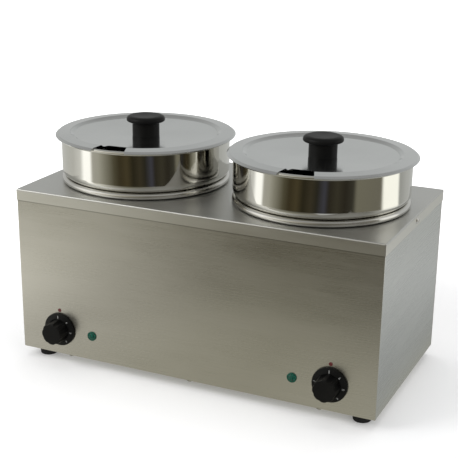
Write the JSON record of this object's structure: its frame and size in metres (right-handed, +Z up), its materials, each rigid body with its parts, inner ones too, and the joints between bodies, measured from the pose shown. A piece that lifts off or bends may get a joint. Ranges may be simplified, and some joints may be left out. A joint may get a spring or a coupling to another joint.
{
  "type": "bain-marie",
  "caption": "Counter-top bain-marie: a low steel casing on feet, with round lidded pots side by side over heated wells, and a thermostat knob and a green lamp for each on the front.",
  "frame": {"origin": "centre of the footprint, controls and cable gland included, on the surface under the feet", "axes": "+X along the front to the right of someone facing the controls, +Y towards the back, +Z up"},
  "size_m": [0.5148, 0.2968, 0.3281],
  "materials": {
    "casing_steel": "stainless sheet, fine brushing",
    "deck_steel": "stainless sheet, satin",
    "plate_steel": "plain sheet, unpolished",
    "well_steel": "stainless, polished on the bead",
    "pot_steel": "stainless, mirror polished",
    "lid_steel": "stainless, mirror polished",
    "knob_plastic": "black moulding, semi-gloss",
    "foot_rubber": "black, matte",
    "lens_green": "translucent green, facetted",
    "dot_red": "printed dot, dark red",
    "screw_steel": "plain steel fastener",
    "heater_sheath": "heat-darkened tube",
    "lamp_nylon": "natural nylon",
    "thermostat_body": "phenolic moulding",
    "bulb_copper": "plain copper",
    "gland_nylon": "black nylon",
    "block_ceramic": "unglazed",
    "brass": "plain"
  },
  "bodies": {
    "base": {"front_panel": "casing_steel", "back_panel": "casing_steel", "left_side_panel": "casing_steel", "right_side_panel": "casing_steel", "top_cover": "deck_steel", "base_plate": "plate_steel", "front_left_foot": "foot_rubber", "front_right_foot": "foot_rubber", "back_left_foot": "foot_rubber", "back_right_foot": "foot_rubber", "foot_screws": "screw_steel", "foot_nuts": "screw_steel", "cover_screws": "screw_steel", "base_screws": "screw_steel", "back_screws": "screw_steel", "casing_nuts": "screw_steel", "thermostat_screws": "screw_steel", "clamp_nuts": "screw_steel", "lamp_clips": "screw_steel", "index_dots": "dot_red", "left_well": "well_steel", "left_heater": "heater_sheath", "left_heater_clamp": "screw_steel", "left_cutout": "thermostat_body", "left_sensing_bulb": "bulb_copper", "left_bulb_clip": "screw_steel", "left_thermostat": "thermostat_body", "left_lamp_lens": "lens_green", "left_lamp_body": "lamp_nylon", "right_well": "well_steel", "right_heater": "heater_sheath", "right_heater_clamp": "screw_steel", "right_cutout": "thermostat_body", "right_sensing_bulb": "bulb_copper", "right_bulb_clip": "screw_steel", "right_thermostat": "thermostat_body", "right_lamp_lens": "lens_green", "right_lamp_body": "lamp_nylon", "gland_body": "gland_nylon", "gland_cap": "gland_nylon", "gland_seal": "foot_rubber", "gland_lock_nut": "gland_nylon", "terminal_block": "block_ceramic", "terminal_screws": "brass", "earth_stud": "brass", "earth_nut": "brass"},
    "left_pot": {"left_pot": "pot_steel"},
    "left_lid": {"left_lid": "lid_steel", "left_lid_knob": "knob_plastic", "left_lid_screw": "screw_steel", "left_lid_washer": "screw_steel"},
    "left_control": {"left_control_knob": "knob_plastic", "left_control_shaft": "screw_steel"},
    "right_pot": {"right_pot": "pot_steel"},
    "right_lid": {"right_lid": "lid_steel", "right_lid_knob": "knob_plastic", "right_lid_screw": "screw_steel", "right_lid_washer": "screw_steel"},
    "right_control": {"right_control_knob": "knob_plastic", "right_control_shaft": "screw_steel"}
  },
  "joints": [
    {"name": "left_pot_lift", "type": "slide", "parent": "base", "child": "left_pot", "axis": [0, 0, 1], "range_m": [0, 0.21]},
    {"name": "left_lid_lift", "type": "slide", "parent": "left_pot", "child": "left_lid", "axis": [0, 0, 1], "range_m": [0, 0.15]},
    {"name": "left_control_turn", "type": "hinge", "parent": "base", "child": "left_control", "pos_m": [-0.1942, -0.1254, 0.0505], "axis": [0, 1, 0], "range_deg": [0, 315]},
    {"name": "right_pot_lift", "type": "slide", "parent": "base", "child": "right_pot", "axis": [0, 0, 1], "range_m": [0, 0.21]},
    {"name": "right_lid_lift", "type": "slide", "parent": "right_pot", "child": "right_lid", "axis": [0, 0, 1], "range_m": [0, 0.15]},
    {"name": "right_control_turn", "type": "hinge", "parent": "base", "child": "right_control", "pos_m": [0.1942, -0.1254, 0.0505], "axis": [0, 1, 0], "range_deg": [0, 315]}
  ]
}
